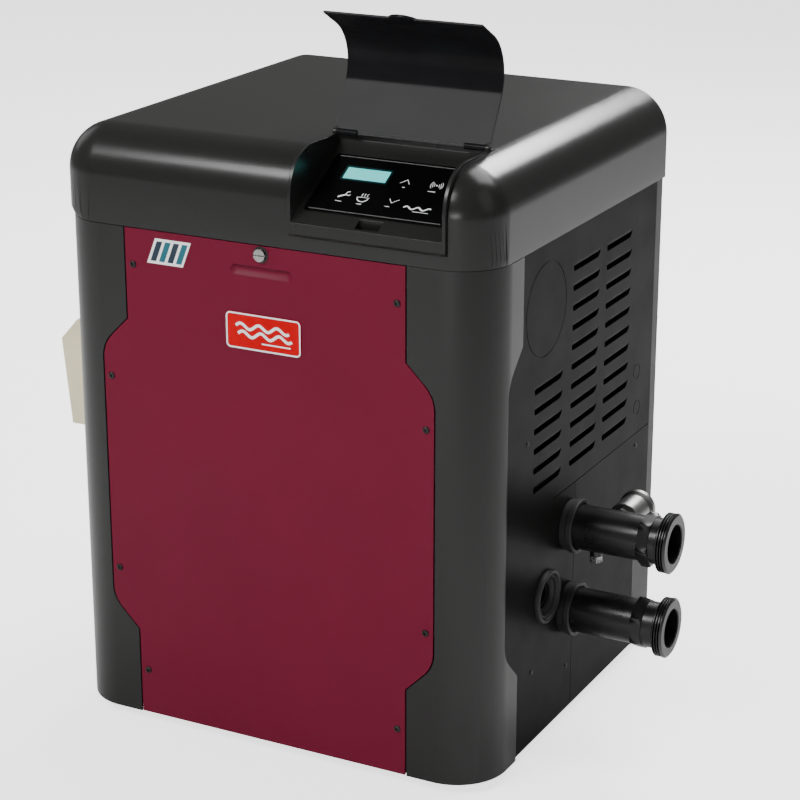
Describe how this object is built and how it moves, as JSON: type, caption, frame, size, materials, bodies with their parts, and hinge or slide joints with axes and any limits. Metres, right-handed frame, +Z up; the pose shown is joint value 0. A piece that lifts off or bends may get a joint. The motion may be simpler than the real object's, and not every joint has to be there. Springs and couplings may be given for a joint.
{
  "type": "gas pool heater",
  "caption": "Fan assisted gas pool heater: charcoal cabinet with a burgundy lift-off door, a control pod under a hinged lid, side louvres and two water unions.",
  "frame": {"origin": "centre of the underside, on the middle skid, level with the surface the heater stands on", "axes": "+X towards the side with the water pipes, -Y towards the door and keypad, +Z up"},
  "size_m": [0.83, 0.567, 0.971],
  "materials": {
    "charcoal_plastic": "fine moulded texture, satin charcoal",
    "panel_paint": "satin charcoal powder coat",
    "door_paint": "satin burgundy powder coat",
    "frame_paint": "grey primer",
    "base_paint": "black powder coat",
    "back_paint": "mid grey powder coat",
    "galvanised": "galvanised sheet",
    "black_screw": "blackened steel",
    "bright_steel": "bright plated steel",
    "silver_cap": "machined and plated",
    "badge_red": "glossy red face with a pale border",
    "emblem_trim": "pale glossy trim",
    "beige_paint": "pale beige powder coat",
    "pod_plastic": "satin charcoal",
    "smoked_plastic": "smoked, nearly opaque, polished",
    "keypad_black": "glossy black membrane",
    "display_glass": "lit pale cyan display",
    "board_green": "circuit board",
    "coil_varnish": "varnished windings",
    "module_blue": "moulded case",
    "pipe_black": "satin black moulded pipe",
    "header_black": "glass filled black polymer",
    "rubber": "black rubber",
    "copper": "copper",
    "refractory": "pale fibre board",
    "burner_steel": "stainless",
    "iron": "black iron",
    "valve_alloy": "die cast",
    "knob_red": "red knob",
    "ceramic": "ceramic",
    "blower_alloy": "die cast",
    "motor_paint": "dark motor paint"
  },
  "bodies": {
    "cabinet": {"base_pan": "base_paint", "base_skids": "base_paint", "corner_post_left": "charcoal_plastic", "corner_post_right": "charcoal_plastic", "front_rail": "galvanised", "top_cover": "charcoal_plastic", "side_panel_left": "panel_paint", "side_panel_right": "panel_paint", "header_access_panel": "panel_paint", "back_panel": "back_paint", "exhaust_grille": "galvanised", "panel_screws": "black_screw", "latch_receptacle": "galvanised", "door_pivot_brackets": "galvanised", "wiring_cover": "beige_paint", "wiring_cover_screws": "bright_steel", "terminal_block": "module_blue", "control_housing": "pod_plastic", "keypad_overlay": "keypad_black", "display_lens": "display_glass", "control_board": "board_green", "lid_hinge_pins": "black_screw", "transformer": "coil_varnish", "ignition_module": "module_blue", "electrical_shelf": "galvanised", "water_header": "header_black", "return_header": "header_black", "heat_exchanger_tubes": "copper", "heat_exchanger_fins": "copper", "combustion_chamber": "refractory", "burner_tubes": "burner_steel", "gas_manifold": "iron", "gas_valve": "valve_alloy", "gas_inlet_pipe": "iron", "gas_grommet": "rubber", "igniter": "ceramic", "flame_sensor": "ceramic", "flue_collector": "galvanised", "blower_housing": "blower_alloy", "blower_motor": "motor_paint", "exhaust_duct": "galvanised", "outlet_tube": "pipe_black", "inlet_tube": "pipe_black", "pipe_unions": "pipe_black", "pipe_wall_flanges": "rubber", "bypass_cap": "silver_cap", "drain_plug": "bright_steel", "pressure_switch": "motor_paint", "limit_switch": "ceramic"},
    "door": {"door_panel": "door_paint", "door_frame": "frame_paint", "door_pull_cup": "door_paint", "door_screws": "black_screw", "badge_plate": "badge_red", "emblem_plate": "emblem_trim"},
    "latch": {"latch_screw": "bright_steel"},
    "lid": {"control_lid": "smoked_plastic"},
    "blower_rotor": {"blower_wheel": "blower_alloy", "motor_shaft": "bright_steel"},
    "gas_knob": {"gas_valve_knob": "knob_red"}
  },
  "joints": [
    {"name": "door_tilt", "type": "hinge", "parent": "cabinet", "child": "door", "pos_m": [0, -0.267, 0.026], "axis": [1, 0, 0], "range_deg": [0, 25]},
    {"name": "latch_turn", "type": "hinge", "parent": "door", "child": "latch", "pos_m": [0, -0.281, 0.678], "axis": [0, -1, 0], "range_deg": [0, 90]},
    {"name": "lid_hinge", "type": "hinge", "parent": "cabinet", "child": "lid", "pos_m": [0.1475, -0.167, 0.814], "axis": [-1, 0, 0], "range_deg": [-119, 0]},
    {"name": "blower_spin", "type": "hinge", "parent": "cabinet", "child": "blower_rotor", "pos_m": [0, -0.015, 0.45], "axis": [0, 0, 1], "continuous": true},
    {"name": "gas_knob_turn", "type": "hinge", "parent": "cabinet", "child": "gas_knob", "pos_m": [0.128, -0.125, 0.245], "axis": [0, 0, 1], "range_deg": [0, 90]}
  ]
}
